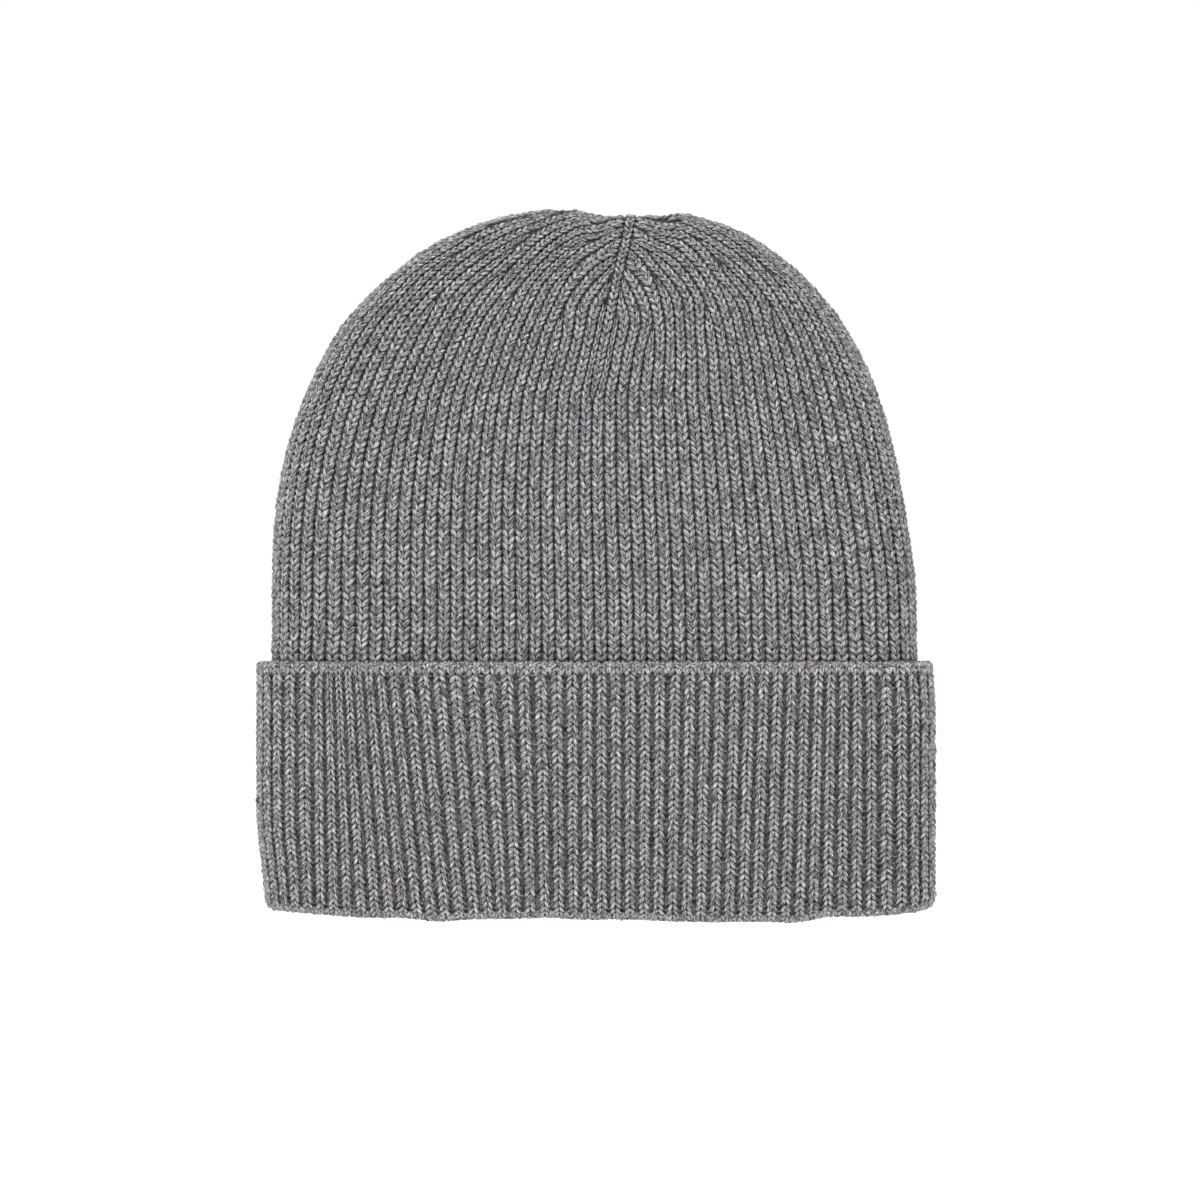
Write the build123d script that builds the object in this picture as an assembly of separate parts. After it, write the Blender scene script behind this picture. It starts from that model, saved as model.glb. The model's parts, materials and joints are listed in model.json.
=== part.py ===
from build123d import *
import os
from dataclasses import dataclass
from math import asin, cos, degrees, radians, sin, sqrt, tan

# A ribbed knit beanie with one deep turned-up cuff, standing open-end down as a head carries it.
# Frame: +Z to the crown, front towards -Y, +X to the right of the front.
# The origin is the centre of the opening, level with the underside of the cuff's fold.
# All sizes are millimetres.

# Driving dimensions
HAT_HEIGHT = 224.0          # fold underside to the top of the crown
CUFF_WIDTH = 212.6          # across the outside of the cuff, hat softly flattened
CUFF_DEPTH = 54.5           # front to back over the outside of the cuff
CUFF_END_RADIUS = 21.75     # outside radius of the cuff's two side bends
CUFF_HEIGHT = 82.0          # fold underside to the cast-on edge
KNIT = 3.5                  # thickness of the rib knit
LAYER_GAP = 1.5             # air between the body and the turned-up cuff
STRAIGHT_HEIGHT = 95.0      # height where the body starts to draw in
DART_HEIGHT = 165.0         # height where the two crown darts begin
WIDTH_POWERS = (2.3, 2.5)   # how the width draws in towards the crown
DEPTH_POWERS = (2.4, 1.8)   # how the depth draws in towards the crown
APEX_SHIFT = 11.5           # the gathered apex sits this far to the right of centre

# Cuff groups: bundles of ribs that turn down about the fold
FRONT_GROUPS = 8            # groups along the front, and as many along the back
END_GROUPS = 6              # groups round each side bend
HINGE_INSET = 1.0           # hinge line inside the cuff's own middle surface
FOLD_REACH = 9.0            # fabric left to the fold between a group and its hinge line
RUNNING_GAP = 0.3           # clearance between pieces that move past each other
GROUP_GAP = 0.4             # clearance between neighbouring groups, turned down

# Seams, gather thread and label
SEAM_WIDTH = 2.0            # back seam, along the fabric
DART_WIDTH = 1.6            # crown dart seams, along the fabric
SEAM_RIDGE = 1.5            # how far a seam stands into the hat
KNOT_RADIUS = 3.3           # gather thread pulled up at the apex
KNOT_CLEARANCE = 0.2
KNOT_DEPTH = 6.0
LABEL_WIDTH = 24.0
LABEL_HEIGHT = 32.0
LABEL_THICKNESS = 0.4
LABEL_SIDE = 18.0           # label centre, to the right of the back seam
LABEL_TOP = 78.0
STITCH_WIDTH = 3.0
STITCH_HEIGHT = 2.0
STITCH_THICKNESS = 0.5
STITCH_COUNT = 4

# Heights, as shares of the crown's height, of the sections that its surface passes through
CROWN_STATIONS = [0.0, 0.1, 0.2, 0.33, 0.46, 0.58, 0.69, 0.79, 0.87, 0.93, 0.97, 0.993]


@dataclass
class Oval:
    """Four tangent arcs: two shallow ones, front and back, and two small ones at the ends."""

    half_width: float
    half_depth: float
    end_radius: float

    @property
    def front_radius(self):
        reach = self.half_width - self.end_radius
        rise = self.half_depth**2 - self.end_radius**2
        return (reach**2 + rise) / (2 * (self.half_depth - self.end_radius))

    @property
    def front_angle(self):
        """Half the angle, in degrees, that the front arc turns through."""
        reach = self.half_width - self.end_radius
        return degrees(asin(reach / (self.front_radius - self.end_radius)))

    def grown(self, distance):
        return Oval(self.half_width + distance, self.half_depth + distance, self.end_radius + distance)

    def arcs(self):
        """Centre, radius, start angle and turn of the front, right, back and left arcs."""
        front = self.front_angle
        side = 90 - front
        offset = self.front_radius - self.half_depth
        reach = self.half_width - self.end_radius
        return [
            ((0, offset), self.front_radius, -90 - front, 2 * front),
            ((reach, 0), self.end_radius, -side, 2 * side),
            ((0, -offset), self.front_radius, 90 - front, 2 * front),
            ((-reach, 0), self.end_radius, 180 - side, 2 * side),
        ]

    def face(self, height):
        edges = []
        for (x, y), radius, start, turn in self.arcs():
            edges.append(CenterArc((x, y, height), radius, start, turn))
        return make_face(edges)


@dataclass
class Group:
    """One bundle of cuff ribs: where its hinge line lies and how wide it may be."""

    x: float
    y: float
    facing: float           # direction of the outward normal, degrees
    half_width: float

    @property
    def plane(self):
        """Local X along the hinge line, local Y outwards, local Z up."""
        tangent = (-sin(radians(self.facing)), cos(radians(self.facing)), 0)
        return Plane(origin=(self.x, self.y, 0), x_dir=tangent, z_dir=(0, 0, 1))


cuff_outside = Oval(CUFF_WIDTH / 2, CUFF_DEPTH / 2, CUFF_END_RADIUS)
body_outside = cuff_outside.grown(-KNIT - LAYER_GAP)
body_inside = body_outside.grown(-KNIT)
hinge_ring = cuff_outside.grown(-KNIT / 2 - HINGE_INSET)
fold_radius = (2 * KNIT + LAYER_GAP) / 2


def taper(share, powers):
    """From 1 at the base of the crown to 0 at its top."""
    return (1 - share ** powers[0]) ** (1 / powers[1])


def crown_solid(base, top):
    """The crown's volume over an oval base, up to a height, as one smooth loft."""
    sections = []
    for station in CROWN_STATIONS:
        half_width = base.half_width * taper(station, WIDTH_POWERS)
        half_depth = base.half_depth * taper(station, DEPTH_POWERS)
        end_radius = half_depth * base.end_radius / base.half_depth
        height = STRAIGHT_HEIGHT + (top - STRAIGHT_HEIGHT) * station / CROWN_STATIONS[-1]
        sections.append(Oval(half_width, half_depth, end_radius).face(height))
    return loft(sections)


def hat_shell(inner_base, thickness):
    """The body from the fold to the crown, closed at the top, with its hollow inside."""
    low = FOLD_REACH
    outside = extrude(body_outside.face(low), STRAIGHT_HEIGHT - low)
    outside += crown_solid(body_outside, HAT_HEIGHT)
    inside = extrude(inner_base.face(low), STRAIGHT_HEIGHT - low)
    inside += crown_solid(inner_base, HAT_HEIGHT - thickness)
    return outside - inside


def dart_plane(shift):
    """The leaning plane of the crown darts, moved along the fabric."""
    rise = HAT_HEIGHT - DART_HEIGHT
    across = Vector(rise, 0, -APEX_SHIFT).normalized()
    return Plane(origin=Vector(0, 0, DART_HEIGHT) + across * shift, z_dir=across)


def ring_of(profile_at, oval):
    """A closed ring: a profile carried round the four arcs of an oval."""
    ring = Part()
    for (x, y), radius, start, turn in oval.arcs():
        outward = Vector(cos(radians(start)), sin(radians(start)), 0)
        plane = Plane(origin=(x, y, 0), x_dir=outward, z_dir=outward.cross(Vector(0, 0, 1)))
        ring += revolve(plane * profile_at(radius), Axis((x, y, 0), (0, 0, 1)), turn)
    return ring


def fold_profile(hinge_radius):
    """Section of the fold: the body's wall turns under and comes up as the cuff."""
    cuff_out = hinge_radius + HINGE_INSET + KNIT / 2
    cuff_in = cuff_out - KNIT
    body_out = cuff_in - LAYER_GAP
    body_in = body_out - KNIT
    middle = (cuff_out + body_in) / 2
    clear = FOLD_REACH - RUNNING_GAP
    cuff_out_top = sqrt(clear**2 - (cuff_out - hinge_radius) ** 2)
    cuff_in_top = sqrt(clear**2 - (cuff_in - hinge_radius) ** 2)
    edges = [
        Line((body_in, FOLD_REACH), (body_in, fold_radius)),
        ThreePointArc((body_in, fold_radius), (middle, 0), (cuff_out, fold_radius)),
        Line((cuff_out, fold_radius), (cuff_out, cuff_out_top)),
        Line((cuff_out, cuff_out_top), (cuff_in, cuff_in_top)),
        Line((cuff_in, cuff_in_top), (cuff_in, fold_radius)),
        ThreePointArc((cuff_in, fold_radius), (middle, fold_radius - LAYER_GAP / 2), (body_out, fold_radius)),
        Line((body_out, fold_radius), (body_out, FOLD_REACH)),
        Line((body_out, FOLD_REACH), (body_in, FOLD_REACH)),
    ]
    return make_face(edges)


def cuff_groups():
    """The groups in order round the hat, counter-clockwise from the front's left end."""
    groups = []
    inner_reach = HINGE_INSET + KNIT / 2
    for ((x, y), radius, start, turn), count in zip(hinge_ring.arcs(), [FRONT_GROUPS, END_GROUPS] * 2):
        step = turn / count
        half_width = (radius - inner_reach) * tan(radians(step / 2)) - GROUP_GAP / 2
        for index in range(count):
            facing = start + step * (index + 0.5)
            across = x + radius * cos(radians(facing))
            along = y + radius * sin(radians(facing))
            groups.append(Group(across, along, facing, half_width))
    return groups


def cuff_group(group):
    """One group: a strip of the cuff's wall between two parallel sides."""
    height = CUFF_HEIGHT - FOLD_REACH
    wall = extrude(cuff_outside.face(FOLD_REACH), height)
    wall -= extrude(cuff_outside.grown(-KNIT).face(FOLD_REACH), height)
    slab = Box(2 * group.half_width, 4 * KNIT, 2 * CUFF_HEIGHT)
    return wall & (group.plane * slab)


def body_wall(shell):
    """The wall below the darts, open along the back where the seam closes it."""
    wall = split(shell, Plane(origin=(0, 0, DART_HEIGHT)), keep=Keep.BOTTOM)
    return wall - seam_slab()


def seam_slab():
    """The space that the back seam takes."""
    return Box(SEAM_WIDTH, CUFF_DEPTH, DART_HEIGHT, align=(Align.CENTER, Align.MIN, Align.MIN))


def back_seam(ridged_shell):
    return split(ridged_shell, Plane(origin=(0, 0, DART_HEIGHT)), keep=Keep.BOTTOM) & seam_slab()


def above_darts(shell):
    return split(shell, Plane(origin=(0, 0, DART_HEIGHT)), keep=Keep.TOP)


def apex_hole(radius):
    """The round space at the apex that the gather thread pulls together."""
    hole = Cylinder(radius, KNOT_DEPTH, align=(Align.CENTER, Align.CENTER, Align.MAX))
    return Pos(APEX_SHIFT, 0, HAT_HEIGHT) * hole


def crown_half(shell, side):
    """One half of the crown, side -1 for the left and +1 for the right."""
    edge = dart_plane(side * DART_WIDTH / 2)
    keep = Keep.TOP if side > 0 else Keep.BOTTOM
    return split(above_darts(shell), edge, keep=keep) - apex_hole(KNOT_RADIUS + KNOT_CLEARANCE)


def dart_seam(ridged_shell, side):
    """One dart's linked seam, side -1 for the front and +1 for the back."""
    strip = split(above_darts(ridged_shell), dart_plane(-DART_WIDTH / 2), keep=Keep.TOP)
    strip = split(strip, dart_plane(DART_WIDTH / 2), keep=Keep.BOTTOM)
    strip = split(strip, Plane.XZ, keep=Keep.TOP if side < 0 else Keep.BOTTOM)
    return strip - apex_hole(KNOT_RADIUS + KNOT_CLEARANCE)


def gather_knot():
    return apex_hole(KNOT_RADIUS)


def label_face():
    """Distance from the hat's middle to the label's inner face."""
    corner = LABEL_SIDE + LABEL_WIDTH / 2
    wall_bow = body_inside.front_radius - sqrt(body_inside.front_radius**2 - corner**2)
    return body_inside.half_depth - wall_bow - RUNNING_GAP - LABEL_THICKNESS


def care_label():
    """A blank label hanging flat against the inside of the back."""
    cloth = Box(LABEL_WIDTH, LABEL_THICKNESS, LABEL_HEIGHT, align=(Align.CENTER, Align.MIN, Align.MAX))
    return Pos(LABEL_SIDE, label_face(), LABEL_TOP) * cloth


def label_stitches():
    """Short stitches along the label's top edge."""
    stitches = []
    hanging = (Align.CENTER, Align.MAX, Align.MAX)
    pitch = LABEL_WIDTH / STITCH_COUNT
    for index in range(STITCH_COUNT):
        stitch = Box(STITCH_WIDTH, STITCH_THICKNESS, STITCH_HEIGHT, align=hanging)
        across = LABEL_SIDE + (index - (STITCH_COUNT - 1) / 2) * pitch
        stitches.append(Pos(across, label_face(), LABEL_TOP) * stitch)
    return Compound(children=stitches)


def build_parts():
    """Every piece of the hat, by name."""
    shell = hat_shell(body_inside, KNIT)
    ridged_shell = hat_shell(body_inside.grown(-SEAM_RIDGE), KNIT + SEAM_RIDGE)
    parts = {
        "body_wall": body_wall(shell),
        "back_seam": back_seam(ridged_shell),
        "crown_left": crown_half(shell, -1),
        "crown_right": crown_half(shell, 1),
        "dart_seam_front": dart_seam(ridged_shell, -1),
        "dart_seam_back": dart_seam(ridged_shell, 1),
        "crown_gather_thread": gather_knot(),
        "cuff_fold": ring_of(fold_profile, hinge_ring),
        "care_label": care_label(),
        "label_stitches": label_stitches(),
    }
    for number, group in enumerate(cuff_groups(), start=1):
        parts[f"cuff_rib_group_{number:02d}"] = cuff_group(group)
    return parts


os.makedirs("parts", exist_ok=True)
for name, part in build_parts().items():
    export_step(part, f"parts/{name}.step")
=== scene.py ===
"""A ribbed knit beanie: every stitch, the cloth behind them, seams, label, light and camera.

Lengths are millimetres until a mesh is made. The hat is built in four quarters that mirror each other, so a
quarter's own coordinates are x towards the side and y towards the front or back, both positive.
A column of knit stitches is a wale. Each quarter has the same number of wales, counted from the side line.
"""

import json
from dataclasses import dataclass

import bpy
import numpy as np
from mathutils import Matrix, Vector


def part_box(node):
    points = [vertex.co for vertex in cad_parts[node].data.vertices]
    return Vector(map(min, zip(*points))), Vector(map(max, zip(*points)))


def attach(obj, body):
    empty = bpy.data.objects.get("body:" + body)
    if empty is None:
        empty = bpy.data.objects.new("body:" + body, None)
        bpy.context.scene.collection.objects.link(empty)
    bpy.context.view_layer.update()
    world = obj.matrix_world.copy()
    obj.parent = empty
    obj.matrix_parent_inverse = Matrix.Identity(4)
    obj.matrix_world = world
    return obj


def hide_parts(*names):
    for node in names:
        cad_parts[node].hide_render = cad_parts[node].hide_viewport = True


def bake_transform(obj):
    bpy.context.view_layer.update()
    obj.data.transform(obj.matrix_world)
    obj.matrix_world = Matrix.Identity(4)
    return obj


MM = 0.001
RANDOM = np.random.default_rng(7)

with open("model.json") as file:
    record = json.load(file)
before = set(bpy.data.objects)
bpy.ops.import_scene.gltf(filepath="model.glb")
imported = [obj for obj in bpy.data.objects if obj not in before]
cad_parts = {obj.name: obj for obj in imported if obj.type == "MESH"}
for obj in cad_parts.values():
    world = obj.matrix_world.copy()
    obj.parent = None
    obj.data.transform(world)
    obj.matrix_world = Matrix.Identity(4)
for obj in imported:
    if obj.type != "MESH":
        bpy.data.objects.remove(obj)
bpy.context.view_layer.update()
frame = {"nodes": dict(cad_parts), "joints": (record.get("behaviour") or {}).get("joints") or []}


# --- Sizes ---------------------------------------------------------------------------------------------

def box_mm(node):
    """The lowest and highest corner of a CAD node."""
    low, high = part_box(node)
    return np.array(low) / MM, np.array(high) / MM


KNIT = 3.5                      # thickness of the cloth
LAYER_GAP = 1.5                 # between the body and the turned-up cuff
HINGE_OFFSET = 2.25             # from the body's outside to the line the cuff turns about
BODY_END_RADIUS = 16.75         # outside radius of the body's side bends
FOLD_RADIUS = KNIT + LAYER_GAP / 2
BODY_RING = (box_mm("body_wall")[1][0], box_mm("body_wall")[1][1], BODY_END_RADIUS)
HAT_TOP = box_mm("crown_left")[1][2]
DART_START = box_mm("crown_left")[0][2]
CUFF_TOP = box_mm("cuff_rib_group_01")[1][2]
STRAIGHT_TOP = 95.0             # the body draws in above this height
WIDTH_POWERS = (2.3, 2.5)       # how the crown's width and depth draw in, as in the CAD
DEPTH_POWERS = (2.4, 1.8)
TOP_SHARE = 0.993               # share of the crown's curve that the CAD's top reaches
APEX_SHIFT = 11.5               # the gathered apex is this far to the right
CUFF_OUT = KNIT + LAYER_GAP     # the cuff's outside, from the body's outside

WALES = 26                      # in a quarter
BODY_PITCH = 4.06               # between wales along the front, body and cuff
CUFF_PITCH = 4.37
END_WALES = 6                   # of a quarter's cuff wales, in its side bend
END_GROUP_WALES = 2             # in each CAD group of the side bend
FACE_GROUP_WALES = 5            # in each CAD group of the face
BODY_COURSE = 2.15              # height of one stitch
CUFF_COURSE = 1.95


# --- The hat's surfaces --------------------------------------------------------------------------------

def smooth(x):
    """Rises from 0 to 1 as x does, level at both ends."""
    x = np.clip(x, 0.0, 1.0)
    return x * x * (3 - 2 * x)


def front_arc(ring):
    """The radius of a ring's long arc, and the angle from the middle of the face to where it ends."""
    half_width, half_depth, end_radius = ring
    reach = half_width - end_radius
    radius = (reach**2 + half_depth**2 - end_radius**2) / (2 * (half_depth - end_radius))
    return radius, np.arcsin(reach / (radius - end_radius))


def ring_place(ring, angle, offset=0.0):
    """x and y where the outward normal of a ring has this angle, 0 at the middle of the face."""
    half_width, half_depth, end_radius = ring
    radius, turn = front_arc(ring)
    at_end = angle > turn
    x = np.where(at_end, half_width - end_radius, 0.0)
    y = np.where(at_end, 0.0, half_depth - radius)
    reach = np.where(at_end, end_radius, radius) + offset
    return x + reach * np.sin(angle), y + reach * np.cos(angle)


def ring_angle(ring, distance):
    """The normal's angle at a distance along the ring from the side line."""
    radius, turn = front_arc(ring)
    end = ring[2] * (np.pi / 2 - turn)
    return np.where(distance < end, np.pi / 2 - distance / ring[2], turn - (distance - end) / radius)


def ring_distance(ring, angle):
    """The distance along the ring from the side line to where its normal has this angle."""
    radius, turn = front_arc(ring)
    end = ring[2] * (np.pi / 2 - turn)
    return np.where(angle > turn, ring[2] * (np.pi / 2 - angle), end + radius * (turn - angle))


HINGE_RING = tuple(size + HINGE_OFFSET for size in BODY_RING)


def crown_share(height):
    """How far up the crown's curve a height is: 0 where the body is straight, 1 at the very top."""
    return (height - STRAIGHT_TOP) / (HAT_TOP - STRAIGHT_TOP) * TOP_SHARE


BODY_SWELL = 0.9                # how much the body swells where it comes out of the cuff


def body_ring(height):
    """The body's outside at a height."""
    share = np.clip(crown_share(height), 0.0, 0.9999)
    width = (1 - share ** WIDTH_POWERS[0]) ** (1 / WIDTH_POWERS[1])
    depth = (1 - share ** DEPTH_POWERS[0]) ** (1 / DEPTH_POWERS[1])
    swell = BODY_SWELL * np.exp(-((height - CUFF_TOP - 2) / 6) ** 2)
    return BODY_RING[0] * width + 0.2 * swell, BODY_RING[1] * depth + swell, BODY_RING[2] * depth + swell


def dart_x(height):
    """How far right of the middle the crown's dart is."""
    return APEX_SHIFT * np.clip((height - DART_START) / (HAT_TOP - DART_START), 0.0, 1.0)


def wale_distance(place, pitch):
    """Along the hinge ring from the side line to a place counted in wales, at a pitch on the face.

    The side bend takes up what the pitch leaves over.
    """
    whole = ring_distance(HINGE_RING, 0.0)
    share = 1 - place / WALES
    at_pitch = pitch * WALES
    return whole - at_pitch * share - (whole - at_pitch) * share**5


def cuff_distance(place):
    """The same for the cuff, whose groups each take in whole wales. It runs on past both ends."""
    whole = ring_distance(HINGE_RING, 0.0)
    end = ring_distance(HINGE_RING, front_arc(HINGE_RING)[1])
    pitch = (whole - end) / (WALES - END_WALES)
    return np.interp(place, (-END_WALES, END_WALES, WALES, WALES + 1), (-end, end, whole, whole + pitch))


@dataclass
class Quarter:
    """One quarter of the hat, and the way from its own coordinates to the hat's."""

    name: str
    side: int    # +1 right, -1 left
    face: int    # -1 front, +1 back

    def world(self, x, y, z):
        return np.stack(np.broadcast_arrays(self.side * x, self.face * y, z), axis=-1)


QUARTERS = [
    Quarter("front_right", 1, -1), Quarter("back_right", 1, 1),
    Quarter("back_left", -1, 1), Quarter("front_left", -1, -1),
]


# --- Strips: one wale of cloth, as rows along it and columns across it ---------------------------------

ACROSS = np.linspace(-0.5, 0.5, 5)      # the columns, in shares of the wale's width
ROW_STEP = 0.4


class Strip:
    """The outside of one wale: points and outward normals on rows at equal steps along it."""

    def __init__(self, place, out):
        middle = place[:, len(ACROSS) // 2]
        run = np.r_[0.0, np.cumsum(np.linalg.norm(np.diff(middle, axis=0), axis=1))]
        self.length = run[-1]
        count = int(self.length / ROW_STEP) + 1
        rows = np.interp(np.arange(count) * ROW_STEP, run, np.arange(len(run)))
        low = np.minimum(rows.astype(int), len(run) - 2)
        part = (rows - low)[:, None, None]
        self.place = place[low] * (1 - part) + place[low + 1] * part
        self.out = out[low] * (1 - part) + out[low + 1] * part
        row = self.place[:, -1] - self.place[:, 0]
        middle = self.place[:, len(ACROSS) // 2]
        ahead = np.gradient(middle, axis=0)
        ahead /= np.linalg.norm(ahead, axis=1, keepdims=True)
        self.skew = (row * ahead).sum(1)
        self.width = np.linalg.norm(row - ahead * self.skew[:, None], axis=1)

    def width_at(self, along):
        return np.interp(along, np.arange(len(self.width)) * ROW_STEP, self.width)

    def at(self, across, along, height):
        """Points at a share of the width straight across, a length along, and a height over the outside."""
        steps = np.arange(len(self.skew)) * ROW_STEP
        row = (along - across * np.interp(along, steps, self.skew)) / ROW_STEP
        low = np.clip(row.astype(int), 0, len(self.place) - 2)
        part = (row - low)[..., None]
        column = (across + 0.5) * (len(ACROSS) - 1)
        left = np.clip(column.astype(int), 0, len(ACROSS) - 2)
        aside = (column - left)[..., None]

        def mixed(field):
            near = field[low, left] * (1 - part) + field[low + 1, left] * part
            far = field[low, left + 1] * (1 - part) + field[low + 1, left + 1] * part
            return near * (1 - aside) + far * aside

        out = mixed(self.out)
        out = out / np.linalg.norm(out, axis=-1, keepdims=True)
        return mixed(self.place) + out * height[..., None]


def crown_heights():
    """Rows from the straight body to the closed top, closer together as the top flattens."""
    share = 1 - (1 - np.linspace(0.0, 0.829, 240)[1:]) ** 3
    return STRAIGHT_TOP + share / TOP_SHARE * (HAT_TOP - STRAIGHT_TOP)


BODY_FOOT = 2.6                 # the body's outside starts here, just over the fold's crease
BODY_HEIGHTS = np.r_[np.arange(BODY_FOOT, STRAIGHT_TOP, 2.0), STRAIGHT_TOP, crown_heights()]
SEAM_HALF = 1.5                 # half the width of the column of stitches on the darts and back seam

# In the crown a wale ends wherever the ones in its block would get narrower than this on average
CROWN_PITCH = 3.15
BLOCKS = np.array_split(np.arange(WALES), 4)
ENDING_ORDER = (1, 5, 3, 2, 6, 4)
DECREASE_LENGTH = 13.0
NO_ENDING = 400.0               # above the hat, for a wale that never ends


def seam_half(face, height):
    """Half the width of the middle column: the crown's dart, and at the back the seam under it too."""
    return SEAM_HALF * (np.ones_like(height) if face > 0 else smooth((height - DART_START + 6) / 14))


def spread_lines(quarter, place, to_middle=False):
    """Distances from the side line, on each row of the body, of places counted in wales.

    They stop at the middle column, or with to_middle at the middle line itself.
    """
    height = BODY_HEIGHTS[:, None]
    reach = ring_distance(body_ring(height), 0.0) - quarter.side * dart_x(height)
    rise = smooth((height - 6.0) / (CUFF_TOP - 10.0))
    along = cuff_distance(place) * (1 - rise) + wale_distance(place, BODY_PITCH) * rise
    spread = ring_distance(BODY_RING, ring_angle(HINGE_RING, along)) / ring_distance(BODY_RING, 0.0)

    hold = 1 - 0.6 * smooth((BODY_HEIGHTS - DART_START - 10) / 45)
    growth = np.diff(np.log(reach[:, 0])) * np.where(BODY_HEIGHTS[1:] < DART_START, 1.0, hold[1:])
    scale = reach[0, 0] * np.exp(np.r_[0.0, np.cumsum(growth)])[:, None]
    margin = 0.0 if to_middle else seam_half(quarter.face, height)
    lines = np.minimum(spread * scale, reach - margin)
    if to_middle:
        lines[:, -1] = reach[:, 0]
    return lines


def ending_heights(quarter):
    """The height at which each wale has ended, from how wide its block of wales is on the way up."""
    rows = len(BODY_HEIGHTS)
    lines = spread_lines(quarter, np.tile(np.arange(WALES + 1.0), (rows, 1)))
    place, _ = body_surface(quarter, lines)
    row = np.diff(place, axis=1)
    ahead = np.gradient((place[:, 1:] + place[:, :-1]) / 2, axis=0)
    ahead /= np.linalg.norm(ahead, axis=2, keepdims=True) + 1e-9
    width = np.linalg.norm(row - ahead * (row * ahead).sum(2, keepdims=True), axis=2)
    heights = np.full(WALES, NO_ENDING)
    for block in BLOCKS:
        room = width[:, block].sum(1) / CROWN_PITCH
        order = [k for k in ENDING_ORDER if k < len(block)]
        for gone, k in enumerate(order):
            narrow = np.flatnonzero((room < len(block) - gone - 0.5) & (BODY_HEIGHTS > STRAIGHT_TOP))
            if len(narrow):
                heights[block[k]] = BODY_HEIGHTS[narrow[0]] + DECREASE_LENGTH / 2
    return heights


def body_lines(quarter, to_middle=False):
    """For each row of the body, where the lines between wales are, with wales ending in the crown."""
    height = BODY_HEIGHTS[:, None]
    share = 1 - smooth((height - ending_heights(quarter) + DECREASE_LENGTH) / DECREASE_LENGTH)
    lines = [np.zeros(len(BODY_HEIGHTS))]
    for block in BLOCKS:
        part = share[:, block]
        lines += list((block[0] + np.cumsum(part, axis=1) / part.sum(1, keepdims=True) * len(block)).T)
    return spread_lines(quarter, np.stack(lines, axis=1), to_middle)


def body_surface(quarter, distance):
    """Points and normals of the body's outside, for a distance from the side line on each row."""
    height = BODY_HEIGHTS.reshape((-1,) + (1,) * (distance.ndim - 1))
    ring = body_ring(height)
    angle = ring_angle(ring, distance)
    x, y = ring_place(ring, angle)
    reach = 0.05
    above, below = height + reach, height - reach
    high_x, high_y = ring_place(body_ring(above), angle)
    low_x, low_y = ring_place(body_ring(below), angle)
    draw = ((high_x - low_x) * np.sin(angle) + (high_y - low_y) * np.cos(angle)) / (2 * reach)
    long = np.sqrt(1 + draw**2)
    out = quarter.world(np.sin(angle) / long, np.cos(angle) / long, -draw / long)
    return quarter.world(x, y, height), out


def body_strips(quarter):
    lines = body_lines(quarter)
    strips = []
    for wale in range(WALES):
        near, far = lines[:, wale, None], lines[:, wale + 1, None]
        distance = near + (far - near) * (ACROSS + 0.5)
        strips.append(Strip(*body_surface(quarter, distance)))
    return strips


def middle_strip(face):
    """The column of stitches down the middle, where the wales of both sides end."""
    quarter = Quarter("middle", 1, face)
    keep = BODY_HEIGHTS > (0 if face > 0 else DART_START - 4)
    height = BODY_HEIGHTS[:, None]
    reach = ring_distance(body_ring(height), 0.0) - dart_x(height)
    place, out = body_surface(quarter, reach + 2 * ACROSS * seam_half(face, height))
    return Strip(place[keep], out[keep])


RIDGE_HALF = 1.9                # half the width of the column along the closed top
RIDGE_REACH = 22.0              # to each side


def ridge_strip(side):
    """The column along the top, where front and back meet, from one side to the apex."""
    x = np.linspace(side * RIDGE_REACH, APEX_SHIFT, 60)[:, None]
    y = 2 * RIDGE_HALF * ACROSS * side
    widths = body_ring(BODY_HEIGHTS)[0]
    top = np.interp(-np.abs(x), -widths, BODY_HEIGHTS) - 0.15
    place = np.stack(np.broadcast_arrays(x, y, top - 0.14 * y**2), axis=-1)
    out = np.stack(np.broadcast_arrays(0.0 * x, 0.28 * y, 1.0 + 0 * x), axis=-1)
    return Strip(place, out / np.linalg.norm(out, axis=-1, keepdims=True))


# --- The cuff and its fold -----------------------------------------------------------------------------

def arc(centre, radii, start, end, count):
    """Points (offset, height) on an ellipse, with normals, angles in degrees from straight up, outwards."""
    turn = np.radians(np.linspace(start, end, count))
    place = np.stack([centre[0] + radii[0] * np.sin(turn), centre[1] + radii[1] * np.cos(turn)], axis=1)
    out = np.stack([np.sin(turn), np.cos(turn)], axis=1)
    return place, out


def straight(offset, low, high, out, count):
    """Points up or down at one offset, with normals outwards or, for out -1, inwards."""
    place = np.stack([np.full(count, offset), np.linspace(low, high, count)], axis=1)
    return place, np.tile([float(out), 0.0], (count, 1))


def joined(*parts):
    """One path from several, each a pair of points and normals."""
    return np.concatenate([p[0] for p in parts]), np.concatenate([p[1] for p in parts])


FOLD_TOP = 9.0                  # the inside of the body changes to the wall's cloth here
EDGE_RADIUS = KNIT / 2
EDGE_CENTRE = (LAYER_GAP + KNIT / 2, CUFF_TOP - EDGE_RADIUS)
FOLD_CENTRE = (LAYER_GAP / 2, FOLD_RADIUS)
CREASE_RADIUS = LAYER_GAP / 2
CREASE_CENTRE = (LAYER_GAP / 2, BODY_FOOT)

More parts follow.
